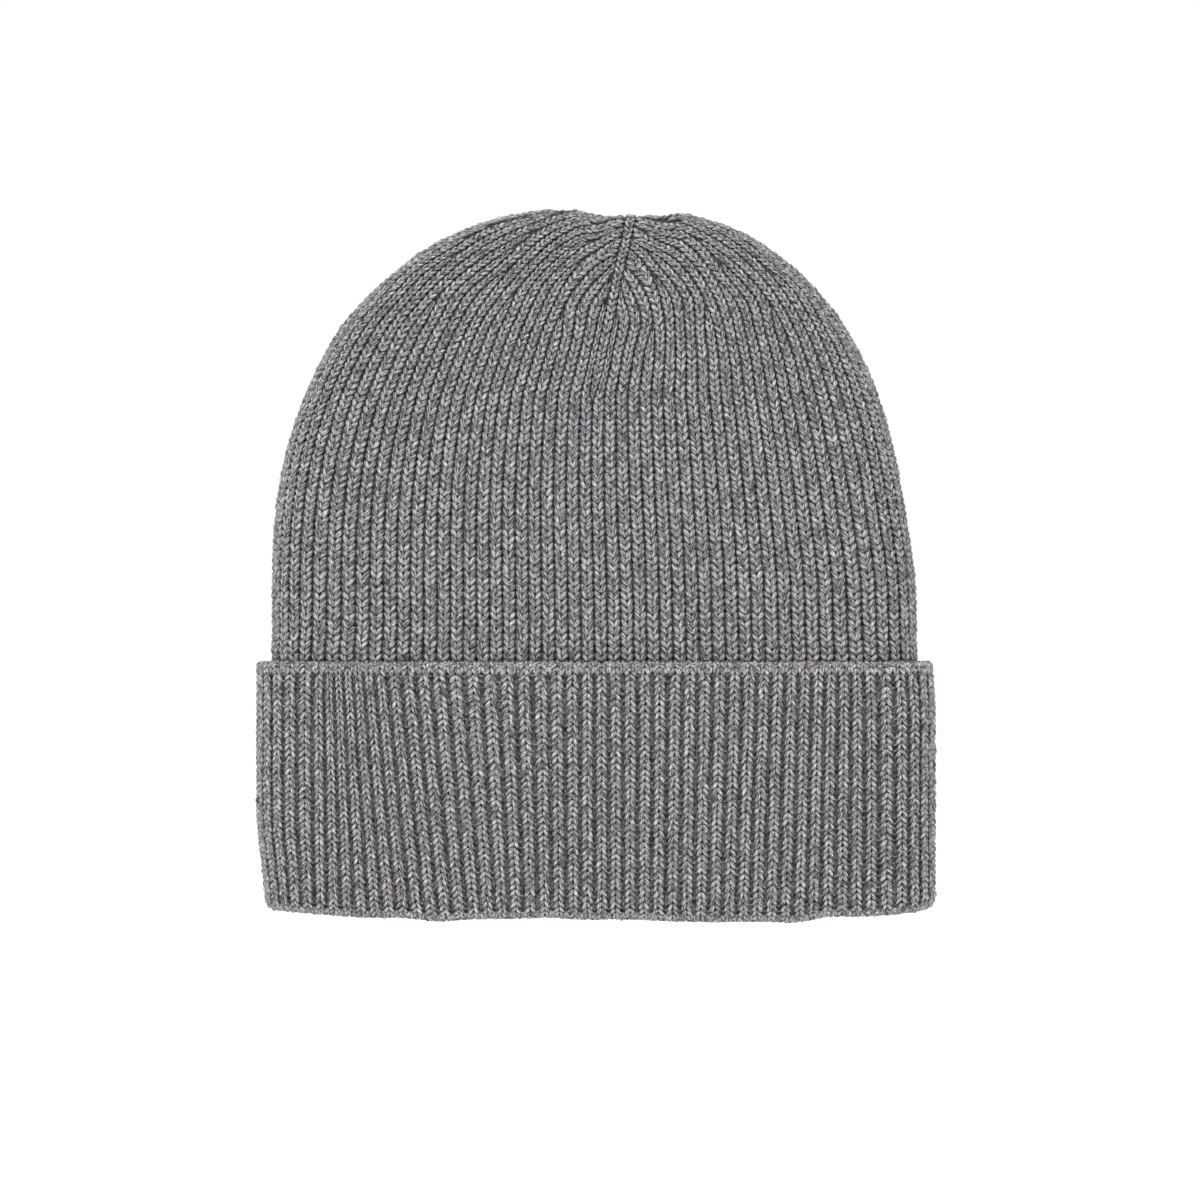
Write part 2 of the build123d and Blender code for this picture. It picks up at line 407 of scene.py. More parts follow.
OUTER_PATH = joined(
    straight(-KNIT, FOLD_TOP, FOLD_RADIUS + 0.5, -1, 5),
    arc(FOLD_CENTRE, (FOLD_RADIUS, FOLD_RADIUS), 270, 90, 19),
    straight(CUFF_OUT, FOLD_RADIUS + 1, CUFF_TOP - EDGE_RADIUS - 1, 1, 40),
    arc(EDGE_CENTRE, (EDGE_RADIUS, EDGE_RADIUS), 90, -60, 12),
)
INNER_PATH = joined(
    arc(CREASE_CENTRE, (CREASE_RADIUS, CREASE_RADIUS), 270, 90, 9),
    straight(LAYER_GAP, BODY_FOOT + 1, CUFF_TOP - EDGE_RADIUS, -1, 40),
)
INNER_PATH[1][:9] *= -1         # inside the crease the normals point at its centre


def leaning(quarter, place, height):
    """The cuff's wales lean outwards as they rise, most on the left of the front."""
    lean = {(-1, -1): 1.8, (1, -1): 0.5}.get((quarter.side, quarter.face), 0.8)
    along_face = np.clip((place - END_WALES) / (WALES - END_WALES), 0, 1) ** 0.75
    return place - lean * np.sin(np.pi * along_face) ** 2 * np.clip(height / CUFF_TOP, 0, 1)


GROOVE_START = 15.5             # along the outer path: the grooves are filled before this and near its end
GROOVE_END = 6.4


def cuff_strip(quarter, wale, path):
    """The strip of a wale, or half a wale on, along one of the cuff's paths."""
    (offset, height), (out_n, out_z) = path[0].T[..., None], path[1].T[..., None]
    place = leaning(quarter, wale + 0.5 + ACROSS[None, :], height)
    angle = ring_angle(HINGE_RING, cuff_distance(place))
    x, y = ring_place(BODY_RING, angle, offset)
    out = quarter.world(out_n * np.sin(angle), out_n * np.cos(angle), out_z + 0 * angle)
    return Strip(quarter.world(x, y, height), out)


def groove_strips(quarter, wale):
    """Strips centred on the groove after a wale and on the side line, each from one quarter only."""
    places = [wale + 0.5] if wale < WALES - 1 or quarter.side > 0 else []
    if wale == 0 and quarter.face < 0:
        places.append(-0.5)
    return [cuff_strip(quarter, place, OUTER_PATH) for place in places]


# --- Stitches ------------------------------------------------------------------------------------------

RINGS = 7                       # along a leg, with a point at each end
SEGMENTS = 6
TWIST = 1.3                     # of the fibres over a leg's length, in radians
YARN_RADIUS = 0.8               # in the map of the yarn's colours


@dataclass
class Knit:
    """How the two legs of a knit stitch lie. Across is in shares of the wale's width."""

    pitch: float
    course: float
    foot: float                 # across, where a leg starts
    head: float                 # across, where it ends
    half_width: float
    half_height: float
    foot_tuck: float            # how deep it dips where it starts
    head_tuck: float            # and where it ends
    reach: float                # its length in courses
    opens: int                  # +1 if the legs part along the strip, -1 if against it


BODY_KNIT = Knit(pitch=BODY_PITCH, course=BODY_COURSE, foot=0.04, head=0.375, half_width=0.74,
                 half_height=0.70, foot_tuck=0.4, head_tuck=1.25, reach=1.5, opens=1)
SEAM_KNIT = Knit(pitch=2 * SEAM_HALF, course=BODY_COURSE, foot=0.06, head=0.40, half_width=0.6,
                 half_height=0.6, foot_tuck=0.4, head_tuck=0.9, reach=1.4, opens=1)
RIDGE_KNIT = Knit(pitch=2 * RIDGE_HALF, course=BODY_COURSE, foot=0.05, head=0.38, half_width=0.66,
                  half_height=0.6, foot_tuck=0.4, head_tuck=0.9, reach=1.4, opens=1)
CUFF_KNIT = Knit(pitch=CUFF_PITCH, course=CUFF_COURSE, foot=0.045, head=0.315, half_width=0.63,
                 half_height=0.72, foot_tuck=0.5, head_tuck=1.1, reach=1.5, opens=-1)
EDGE_KNIT = Knit(pitch=CUFF_PITCH, course=CUFF_COURSE, foot=0.04, head=0.17, half_width=0.6,
                 half_height=0.6, foot_tuck=0.5, head_tuck=0.9, reach=1.4, opens=-1)
LINING_KNIT = Knit(pitch=CUFF_PITCH, course=CUFF_COURSE, foot=0.06, head=0.35, half_width=0.68,
                   half_height=0.7, foot_tuck=0.5, head_tuck=1.0, reach=1.5, opens=-1)


def tube_faces(rings, segments):
    """Corners, face starts and flat coordinates of a closed tube with a point at each end."""
    faces, flat = [], []
    tail = 1 + (rings - 2) * segments
    for k in range(segments):
        after = (k + 1) % segments
        faces.append((0, 1 + after, 1 + k))
        flat.append(((k + 0.5, 0), (k + 1, 1), (k, 1)))
        for i in range(rings - 3):
            low, high = 1 + i * segments, 1 + (i + 1) * segments
            faces.append((low + k, low + after, high + after, high + k))
            flat.append(((k, i + 1), (k + 1, i + 1), (k + 1, i + 2), (k, i + 2)))
        last = 1 + (rings - 3) * segments
        faces.append((last + k, last + after, tail))
        flat.append(((k, rings - 2), (k + 1, rings - 2), (k + 0.5, rings - 1)))
    corners = np.array([c for face in faces for c in face])
    starts = np.r_[0, np.cumsum([len(face) for face in faces])[:-1]]
    uv = np.array([c for face in flat for c in face]) / (segments, rings - 1)
    return corners, starts, uv


TUBE = tube_faces(RINGS, SEGMENTS)
BUMP_RINGS, BUMP_SEGMENTS = 5, 5
BUMP_TUBE = tube_faces(BUMP_RINGS, BUMP_SEGMENTS)


def tube_points(across, along, height, half_width, half_height, segments):
    """Points round a centreline given in millimetres across, along and over the cloth."""
    slope_x, slope_y = np.gradient(across), np.gradient(along)
    size = np.hypot(slope_x, slope_y)
    turn = 2 * np.pi * np.arange(segments) / segments
    aside = np.outer(half_width, np.cos(turn))[1:-1]
    up = np.outer(half_height, np.sin(turn))[1:-1]
    x = across[1:-1, None] + aside * (slope_y / size)[1:-1, None]
    y = along[1:-1, None] - aside * (slope_x / size)[1:-1, None]
    z = height[1:-1, None] + up
    ends = np.stack([across, along, height], axis=1)[[0, -1]]
    body = np.stack([x, y, z], axis=2).reshape(-1, 3)
    points = np.concatenate([ends[:1], body, ends[1:]])
    run = np.linspace(0, 1, len(across))
    length = np.repeat(run[1:-1], segments)
    rounds = np.tile(turn, len(across) - 2) + TWIST * length
    thread = np.stack([np.r_[0, np.cos(rounds), 0], np.r_[0, np.sin(rounds), 0],
                       np.r_[0, length, 1]], axis=1)
    return points, thread


def leg(knit, side):
    """One leg's points, with across as a share of the wale's width, and their places in its yarn."""
    a = np.linspace(0, 1, RINGS)
    across = side * (knit.foot + (knit.head - knit.foot) * smooth(a)) * knit.pitch
    along = knit.opens * (a - 0.5) * knit.reach * knit.course
    bow = np.sin(np.pi * (0.04 + 0.92 * a)) ** 0.8
    tuck = knit.foot_tuck + (knit.head_tuck - knit.foot_tuck) * a
    height = -knit.half_height - tuck * (1 - bow)
    swell = np.sin(np.pi * (0.1 + 0.8 * a)) ** 0.55
    points, thread = tube_points(across, along, height, knit.half_width * swell,
                                 knit.half_height * swell, SEGMENTS)
    points[:, 0] /= knit.pitch
    return points, thread


class Cloth:
    """Gathers the parts of one piece, then makes its mesh."""

    def __init__(self, name):
        self.name = name
        self.points, self.threads, self.tones, self.shades = [], [], [], []
        self.corners, self.starts, self.flat = [], [], []
        self.cells = []
        self.count = 0
        self.corner_count = 0

    def add(self, points, threads, tones, shades, shape, whole=False):
        """points is (copies, vertices, 3). shape is corners, starts and flat coordinates of one copy.

        shades, the painted shade that darkens the yarn's colour, is for every point, or for the points of
        one copy.
        """
        corners, starts, flat = shape
        copies, size = points.shape[:2]
        order = np.arange(copies)
        self.points.append(points.reshape(-1, 3))
        self.threads.append(threads.reshape(-1, 3))
        self.tones.append(np.repeat(tones, size))
        self.shades.append(np.broadcast_to(shades, (copies, size)).ravel())
        self.corners.append((corners + order[:, None] * size).ravel() + self.count)
        self.starts.append((starts + order[:, None] * len(corners)).ravel() + self.corner_count)
        self.flat.append(np.tile(flat, (copies, 1)))
        self.cells.append(np.repeat(order * 0 - 1 if whole else order, len(corners)))
        self.count += copies * size
        self.corner_count += copies * len(corners)

    def unwrapped(self):
        """A cell of the map for each stitch. A sheet has a strip of its own at the right."""
        small = sum(c.max() + 1 for c in self.cells)
        sheets = sum(1 for c in self.cells if c.max() < 0)
        side = int(np.ceil(np.sqrt(max(small, 1))))
        room = 0.86 if sheets else 1.0
        uv, before, sheet = [], 0, 0
        for cell, flat in zip(self.cells, self.flat):
            if cell.max() < 0:
                width = (1 - room) / sheets if small else 1 / sheets
                left = room if small else 0
                uv.append(np.stack([left + (sheet + 0.02 + 0.96 * flat[:, 0]) * width,
                                    0.01 + 0.98 * flat[:, 1]], axis=1))
                sheet += 1
                continue
            number = cell + before
            before += cell.max() + 1
            corner = np.stack([number % side, number // side], axis=1)
            uv.append((corner + 0.08 + 0.84 * flat) / side * (room, 1.0))
        return np.concatenate(uv)

    def build(self, material, slot):
        """Makes the piece, not yet settled."""
        mesh = bpy.data.meshes.new(self.name)
        points = np.concatenate(self.points) * MM
        corners, starts = np.concatenate(self.corners), np.concatenate(self.starts)
        mesh.vertices.add(len(points))
        mesh.vertices.foreach_set("co", points.astype(np.float32).ravel())
        mesh.loops.add(len(corners))
        mesh.loops.foreach_set("vertex_index", corners.astype(np.int32))
        mesh.polygons.add(len(starts))
        mesh.polygons.foreach_set("loop_start", starts.astype(np.int32))
        mesh.polygons.foreach_set("use_smooth", np.ones(len(starts), bool))
        uv = mesh.uv_layers.new(name="OFBake")
        uv.data.foreach_set("uv", self.unwrapped().astype(np.float32).ravel())
        thread = mesh.attributes.new("thread", "FLOAT_VECTOR", "POINT")
        thread.data.foreach_set("vector", np.concatenate(self.threads).astype(np.float32).ravel())
        for name, values in (("tone", self.tones), ("shade", self.shades)):
            field = mesh.attributes.new(name, "FLOAT", "POINT")
            field.data.foreach_set("value", np.concatenate(values).astype(np.float32))
        mesh.materials.append(material)
        mesh.update(calc_edges=True)
        piece = bpy.data.objects.new(self.name, mesh)
        bpy.context.scene.collection.objects.link(piece)
        return piece


def settle(piece):
    """Gives a piece the hat's own unevenness."""
    vertices = piece.data.vertices
    place = np.empty(len(vertices) * 3, np.float32)
    vertices.foreach_get("co", place)
    x, y, z = place.reshape(-1, 3).T.astype(float) / MM
    hat = np.clip(1 + z / 20, 0, 1)     # fades out below the hat

    # The body leans left at half height, and its right side is drawn in
    x = x - 1.0 * np.exp(-((z - 142) / 30) ** 2) - 0.8 * smooth((z - 104) / 25) * smooth((x - 40) / 30)
    # The left shoulder falls in towards the top
    x = x + 1.9 * smooth((z - 184) / 20) * smooth((-x - 6) / 20)
    # The fold is short at its left end, and the cuff is fuller on the right
    x = x + 2.6 * smooth((35 - z) / 35) * smooth((-x - 80) / 25) * hat
    x = x + 0.9 * smooth((84 - z) / 18) * smooth((x - 70) / 25) * hat
    # The crown is lower on the left, with a dip at the apex
    z = z - 0.55 * smooth((30 - x) / 20) * smooth((z - 195) / 25)
    z = z - 1.9 * smooth((x + 6) / 8) * smooth((28 - x) / 8) * smooth((z - 203) / 14)
    # The fold waves, and rises a little left of the middle and at both ends
    wave = 0.9 + 0.8 * np.sin(x / 19 + 0.6) + 0.4 * np.sin(x / 8.3 + np.sign(y) + 2.0)
    wave = wave + 2.0 * np.exp(-((x + 30) / 17) ** 2) + 1.1 * np.exp(-((x + 14) / 9) ** 2)
    wave = wave + 2.8 * smooth((x - 60) / 16) + 1.8 * smooth((-x - 46) / 16)
    z = z + wave * (1 - smooth(z / 50)) * hat

    vertices.foreach_set("co", (np.stack([x, y, z], axis=1) * MM).astype(np.float32).ravel())
    piece.data.update()


def add_stitches(cloth, strip, knit, first, last, skip_narrow=0.0):
    """Both legs of every stitch on a stretch of a strip.

    With skip_narrow there are none where the strip is narrower than this share of the pitch.
    """
    along = np.arange(first + knit.course / 2, last, knit.course)
    if skip_narrow:
        along = along[strip.width_at(along) > skip_narrow * knit.pitch]
    if not len(along):
        return
    for side in (-1, 1):
        points, thread = leg(knit, side)
        count = len(along)
        across = points[:, 0] + RANDOM.normal(0, 0.018, (count, 1))
        up = along[:, None] + points[:, 1] * RANDOM.normal(1, 0.05, (count, 1))
        up = up + RANDOM.normal(0, 0.09, (count, 1))
        height = points[:, 2] + RANDOM.normal(0, 0.1, (count, 1))
        placed = strip.at(across, up, height)
        shift = RANDOM.uniform(0, 97, (count, 1, 3))
        # The legs get painted shade at their ends and at the edge of the groove.
        cloth.add(placed, threads_of(thread, knit.course * knit.reach, shift),
                  RANDOM.uniform(0, 1, count), painted_leg_shade(knit, points, thread), TUBE)


def painted_leg_shade(knit, points, thread):
    """Painted shade: darker at a leg's ends, and where it goes down into the groove beside its wale."""
    ends = np.sin(np.pi * np.clip(thread[:, 2], 0.06, 0.94)) ** 0.6
    groove = smooth((np.abs(points[:, 0]) - knit.head + 0.01) / 0.15)
    return (0.72 + 0.28 * ends) * (1 - 0.6 * groove)


def threads_of(thread, length, shift):
    """Where a point is in its yarn, in millimetres, moved so that no two stitches match."""
    return thread * (YARN_RADIUS, YARN_RADIUS, length) + shift


# Painted shade where the cloth lies deep, as a share of the yarn's own colour (1): the purl bars, at random
# between two values that also give a speckle, and the sheets behind the stitches. The lining inside the hat
# is a little darker.
PURL_SHADES = (0.25, 0.75)
BACKING_SHADE = 0.25
LINING_SHADE = 0.85

PURL_PLACE = 0.44               # across, from the middle of a wale to the bars on each side
PURL_HALF = 0.13                # half a bar's length, across


def add_purl(cloth, strip, knit, first, last, across_at):
    """The short bars of the purl stitches in the groove between two wales."""
    along = np.arange(first + knit.course / 2, last, knit.course)
    a = np.linspace(-1, 1, BUMP_RINGS)
    swell = np.sqrt(1 - 0.9 * a**2)
    points, thread = tube_points(a * PURL_HALF * knit.pitch, 0.35 * a**2, -1.5 - 0.35 * a**2,
                                 0.5 * swell, 0.42 * swell, BUMP_SEGMENTS)
    points[:, 0] /= knit.pitch
    count = len(along)
    across = across_at + points[:, 0] + RANDOM.normal(0, 0.015, (count, 1))
    up = along[:, None] + points[:, 1] + RANDOM.normal(0, 0.12, (count, 1))
    height = points[:, 2] + RANDOM.normal(0, 0.15, (count, 1))
    placed = strip.at(across, up, height)
    shift = RANDOM.uniform(0, 97, (count, 1, 3))
    # Each bar is painted darker because it lies deep in the groove, by a random amount.
    cloth.add(placed, threads_of(thread, 1.2, shift), RANDOM.uniform(0, 1, count),
              RANDOM.uniform(*PURL_SHADES, (count, 1)), BUMP_TUBE)


# --- Backing cloth -------------------------------------------------------------------------------------

def slab_faces(rows, columns):
    """A closed slab: an outer grid, an inner grid after it, and the walls between their borders."""
    outer = np.arange(rows * columns).reshape(rows, columns)
    inner = outer + rows * columns
    u, v = np.meshgrid(np.linspace(0, 1, columns), np.linspace(0, 1, rows))
    faces, flat = [], []

    def quads(grid, turned, left, right):
        a, b, c, d = grid[:-1, :-1], grid[:-1, 1:], grid[1:, 1:], grid[1:, :-1]
        order = (a, d, c, b) if turned else (a, b, c, d)
        faces.append(np.stack(order, axis=-1).reshape(-1, 4))
        uv = np.stack([left + (right - left) * u, v], axis=-1)
        ua, ub, uc, ud = uv[:-1, :-1], uv[:-1, 1:], uv[1:, 1:], uv[1:, :-1]
        order = (ua, ud, uc, ub) if turned else (ua, ub, uc, ud)
        flat.append(np.stack(order, axis=-2).reshape(-1, 4, 2))

    quads(outer, False, 0.0, 0.47)
    quads(inner, True, 0.48, 0.95)
    borders = [(outer[0, ::-1], inner[0, ::-1]), (outer[-1], inner[-1]),
               (outer[:, 0], inner[:, 0]), (outer[::-1, -1], inner[::-1, -1])]
    for number, (top, bottom) in enumerate(borders):
        faces.append(np.stack([top[:-1], top[1:], bottom[1:], bottom[:-1]], axis=1))
        run = np.linspace(0, 1, len(top))
        left = 0.955 + number * 0.011
        wall = [np.stack([np.full(len(run) - 1, left + w), r], axis=1)
                for w, r in ((0, run[:-1]), (0, run[1:]), (0.01, run[1:]), (0.01, run[:-1]))]
        flat.append(np.stack(wall, axis=1))
    corners = np.concatenate(faces).ravel()
    return corners, np.arange(len(corners) // 4) * 4, np.concatenate(flat).reshape(-1, 2)


SHEET_GRAIN = 0.7               # how finely a sheet takes the yarn's colours


def add_slab(cloth, outer, inner, inner_shade):
    """outer and inner are grids of points. The outer one is painted dark with the shade that lies behind
    stitches.
    """
    points = np.concatenate([outer.reshape(-1, 3), inner.reshape(-1, 3)])
    corners, starts, flat = slab_faces(*outer.shape[:2])
    shades = np.repeat([BACKING_SHADE, inner_shade], len(points) // 2)
    cloth.add(points[None], points[None] * SHEET_GRAIN, np.array([0.5]), shades,
              (corners, starts, flat), whole=True)


def add_body_wall(cloth, quarter):
    """Behind the body's stitches: flat outside, painted dark as the shade there, and ribbed inside."""
    lines = body_lines(quarter, to_middle=True)
    columns = 6
    wale = np.arange(WALES * columns + 1) / columns
    low = np.minimum(wale.astype(int), WALES - 1)
    part = wale - low
    distance = lines[:, low] * (1 - part) + lines[:, low + 1] * part
    rows = np.flatnonzero(BODY_HEIGHTS >= FOLD_TOP - 2)[::2]
    place, out = body_surface(quarter, distance)
    place, out = place[rows], out[rows]
    closing = np.minimum(1.0, body_ring(BODY_HEIGHTS[rows])[1] / KNIT)[:, None, None]
    ribs = (0.35 * np.cos(2 * np.pi * part))[None, :, None]
    outer = place - out * 1.5 * closing
    inner = place - out * (KNIT - 0.4 + ribs) * closing
    if quarter.side * quarter.face > 0:
        outer, inner = outer[:, ::-1], inner[:, ::-1]
    add_slab(cloth, outer, inner, LINING_SHADE)


BACKING_PATH = joined(
    straight(-KNIT / 2, FOLD_TOP, FOLD_RADIUS + 0.5, -1, 4),
    arc(FOLD_CENTRE, (2.5, 3.4), 270, 90, 13),
    straight(LAYER_GAP + KNIT / 2, FOLD_RADIUS + 1, CUFF_TOP - 1.2, 1, 24),
)


def add_cuff_backing(cloth, quarter, wales):
    """A thin sheet in the middle of the cuff's cloth, under the stitches of both faces, painted dark on
    both sides as the shade there.
    """
    (offset, height), (out_n, out_z) = BACKING_PATH[0].T[..., None], BACKING_PATH[1].T[..., None]
    place = np.linspace(min(wales), max(wales) + 1, 3 * len(wales) + 1)[None, :]
    place = leaning(quarter, place, height)
    angle = ring_angle(HINGE_RING, cuff_distance(place))
    grids = []
    for half in (0.3, -0.3):
        x, y = ring_place(BODY_RING, angle, offset + half * out_n)
        grids.append(quarter.world(x, y, height + half * out_z))
    outer, inner = grids
    if quarter.side * quarter.face > 0:
        outer, inner = outer[:, ::-1], inner[:, ::-1]
    add_slab(cloth, outer, inner, BACKING_SHADE)


# --- Materials -----------------------------------------------------------------------------------------

def nodes_of(material):
    """A node tree with one shader in it."""
    material.use_nodes = True
    tree = material.node_tree
    tree.nodes.clear()
    shader = tree.nodes.new("ShaderNodeBsdfPrincipled")
    output = tree.nodes.new("ShaderNodeOutputMaterial")
    tree.links.new(shader.outputs[0], output.inputs[0])
    return tree, shader


def plain_material(name, colour, roughness=0.85):
    material = bpy.data.materials.new(name)
    tree, shader = nodes_of(material)
    shader.inputs["Base Color"].default_value = (*colour, 1)
    shader.inputs["Roughness"].default_value = roughness
    return material


def yarn_material(name, dark, light, warm, cool):
    """Marled wool: light and dark fibres along the yarn, in faintly warmer and cooler stretches, darkened
    by each point's painted shade.
    """
    material = bpy.data.materials.new(name)
    tree, shader = nodes_of(material)
    new, link = tree.nodes.new, tree.links.new

    def attribute(key):
        node = new("ShaderNodeAttribute")
        node.attribute_name = key
        return node

    def noise(scale, detail, stretch):
        turn = new("ShaderNodeMapping")
        turn.inputs["Scale"].default_value = stretch
        link(attribute("thread").outputs["Vector"], turn.inputs["Vector"])
        node = new("ShaderNodeTexNoise")
        node.inputs["Scale"].default_value = scale
        node.inputs["Detail"].default_value = detail
        link(turn.outputs[0], node.inputs["Vector"])
        return node

    def ramp(source, stops):
        node = new("ShaderNodeValToRGB")
        band = node.color_ramp
        for place, colour in stops[1:-1]:
            band.elements.new(place)
        for element, (place, colour) in zip(band.elements, stops):
            element.position = place
            element.color = (*colour, 1)
        link(source, node.inputs[0])
        return node

    def mix(kind, factor, first, second):
        node = new("ShaderNodeMix")
        node.data_type = "RGBA"
        node.blend_type = kind
        if isinstance(factor, float):
            node.inputs[0].default_value = factor
        else:
            link(factor, node.inputs[0])
        link(first, node.inputs[6])
        link(second, node.inputs[7])
        return node.outputs[2]

    fibres = noise(2.1, 3.0, (1.0, 1.0, 0.25))
    middle = tuple((d + l) / 2 for d, l in zip(dark, light))
    streaks = ramp(fibres.outputs[0], [(0.41, dark), (0.5, middle), (0.59, light)])
    flecks = noise(4.5, 2.0, (1.0, 1.0, 0.3))
    fleck = ramp(flecks.outputs[0], [(0.36, (0.5,) * 3), (0.5, (1.0,) * 3), (0.64, (1.6,) * 3)])
    tint = ramp(attribute("tone").outputs["Fac"],
                [(0.0, warm), (0.12, (1.0,) * 3), (0.88, (1.0,) * 3), (1.0, cool)])
    shade = noise(0.7, 1.0, (0.3, 0.3, 0.3))
    shade_ramp = ramp(shade.outputs[0], [(0.3, (0.86,) * 3), (0.5, (1.0,) * 3), (0.7, (1.14,) * 3)])
    colour = mix("MULTIPLY", 1.0, streaks.outputs[0], fleck.outputs[0])
    colour = mix("MULTIPLY", 1.0, colour, tint.outputs[0])
    colour = mix("MULTIPLY", 1.0, colour, shade_ramp.outputs[0])
    # Painted shade: the colour is darkened by each point's shade attribute.
    painted_shade = ramp(attribute("shade").outputs["Fac"], [(0.0, (0.0,) * 3), (1.0, (1.0,) * 3)])
    colour = mix("MULTIPLY", 1.0, colour, painted_shade.outputs[0])
    link(colour, shader.inputs["Base Color"])
    bump = new("ShaderNodeBump")
    bump.inputs["Strength"].default_value = 0.5
    bump.inputs["Distance"].default_value = 0.00015
    link(fibres.outputs[0], bump.inputs["Height"])
    link(bump.outputs[0], shader.inputs["Normal"])
    shader.inputs["Roughness"].default_value = 0.9
    shader.inputs["Specular IOR Level"].default_value = 0.25
    shader.inputs["Sheen Weight"].default_value = 0.1
    shader.inputs["Sheen Roughness"].default_value = 0.5
    return material


WARM, COOL = (1.06, 1.01, 0.92), (0.98, 0.97, 1.05)
CUFF_DARK, CUFF_LIGHT = (0.057, 0.052, 0.056), (0.390, 0.374, 0.386)
BODY_DARK, BODY_LIGHT = (0.053, 0.049, 0.052), (0.352, 0.340, 0.351)
BODY_YARN = yarn_material("knit_body_yarn", BODY_DARK, BODY_LIGHT, WARM, COOL)
CUFF_YARN = yarn_material("knit_cuff_yarn", CUFF_DARK, CUFF_LIGHT, WARM, COOL)
THREAD = plain_material("seam_thread", (0.16, 0.155, 0.16))
LABEL_CLOTH = plain_material("label_cloth", (0.72, 0.71, 0.68), 0.7)


# --- The body and crown --------------------------------------------------------------------------------

BAND_HEIGHT = 112.0             # below this a quarter's stitches are one piece, and above it another


def build_body(quarter):
    """A quarter's stitches, in two pieces, and the cloth behind them."""
    low, high = Cloth(f"body_rib_{quarter.name}"), Cloth(f"crown_rib_{quarter.name}")
    change = int((BAND_HEIGHT - BODY_FOOT) / BODY_COURSE) * BODY_COURSE
    for strip in body_strips(quarter):
        add_stitches(low, strip, BODY_KNIT, 0.0, change)
        add_stitches(high, strip, BODY_KNIT, change, strip.length, skip_narrow=0.27)
    wall = Cloth(f"body_cloth_{quarter.name}")
    add_body_wall(wall, quarter)
    pieces = [cloth.build(BODY_YARN, "knit_body") for cloth in (low, high, wall)]
    for piece in pieces:
        settle(piece)
        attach(piece, "shell")
    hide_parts("body_wall")
    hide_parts("crown_right" if quarter.side > 0 else "crown_left")


def build_middle_column(face, name):
    column = Cloth(f"middle_column_{name}")
    strip = middle_strip(face)
    add_stitches(column, strip, SEAM_KNIT, 0.0, strip.length, skip_narrow=0.2)
    piece = column.build(BODY_YARN, "knit_body")
    settle(piece)
    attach(piece, "shell")
    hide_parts(f"dart_seam_{name}")
    if face > 0:
        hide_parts("back_seam")


def build_ridge():
    """The column along the closed top, from both sides to the apex."""
    ridge = Cloth("crown_ridge_column")
    for side in (1, -1):
        strip = ridge_strip(side)
        add_stitches(ridge, strip, RIDGE_KNIT, 0.0, strip.length - 1.0)
    piece = ridge.build(BODY_YARN, "knit_body")
    settle(piece)
    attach(piece, "shell")


for body_quarter in QUARTERS:
    build_body(body_quarter)
build_middle_column(-1, "front")
build_middle_column(1, "back")
build_ridge()


# --- The cuff ------------------------------------------------------------------------------------------

GROUPS = [joint for joint in frame["joints"] if joint["child"].startswith("cuff_rib_group")]
ANCHORS = np.array([joint["pos_m"] for joint in GROUPS]) / MM


def group_of(quarter, wale):
    """The number of the cuff group a wale is in."""
    first, size = (0, END_GROUP_WALES) if wale < END_WALES else (END_WALES, FACE_GROUP_WALES)
    middle = first + (wale - first) // size * size + size / 2
    angle = ring_angle(HINGE_RING, cuff_distance(middle))
    x, y = ring_place(HINGE_RING, angle)
    return int(np.argmin(np.hypot(ANCHORS[:, 0] - quarter.side * x, ANCHORS[:, 1] - quarter.face * y)))


def build_group(number, members):
    """The cuff's knit over one CAD group, both faces, down through the fold to the body."""
    cloth = Cloth(f"cuff_rib_{number + 1:02d}")
    for quarter in QUARTERS:
        wales = [wale for q, wale in members if q is quarter]
        for wale in wales:
            outer = cuff_strip(quarter, wale, OUTER_PATH)
            inner = cuff_strip(quarter, wale, INNER_PATH)
            add_stitches(cloth, outer, CUFF_KNIT, 0.0, outer.length)
            for groove in groove_strips(quarter, wale):
                add_stitches(cloth, groove, EDGE_KNIT, 0.0, GROOVE_START)
                add_stitches(cloth, groove, EDGE_KNIT, groove.length - GROOVE_END, groove.length)
            low, high = GROOVE_START - 1, outer.length - GROOVE_END + 1
            for place in (PURL_PLACE, -PURL_PLACE):
                add_purl(cloth, outer, CUFF_KNIT, low, high, place)
            add_stitches(cloth, inner, LINING_KNIT, 0.0, inner.length)
        if wales:
            add_cuff_backing(cloth, quarter, wales)
    piece = cloth.build(CUFF_YARN, "knit_cuff")
    joint = GROUPS[number]
    anchor, axis = Vector(joint["pos_m"]), Vector(joint["axis"])
    out = axis.cross(Vector((0, 0, 1)))
    if out.dot(Vector((anchor.x, anchor.y, 0))) < 0:
        out.negate()
    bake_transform(piece)
    settle(piece)
    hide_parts(joint["child"], "cuff_fold")


def build_cuff():
    members = {number: [] for number in range(len(GROUPS))}
    for quarter in QUARTERS:
        for wale in range(WALES):
            members[group_of(quarter, wale)].append((quarter, wale))
    for number, found in members.items():
        build_group(number, found)


build_cuff()


# --- Seams, gather thread and label --------------------------------------------------------------------

stitches = frame["nodes"]["label_stitches"]
stitches.data.materials.clear()
stitches.data.materials.append(THREAD)


GATHER_YARN = 0.55              # radius of the gather thread
GATHER_POINTS = 18              # along each of its turns
GATHER_TURNS = ((1.7, 1.0, 0.0), (1.2, 0.3, 0.2))      # radius, depth under the top, rise and fall


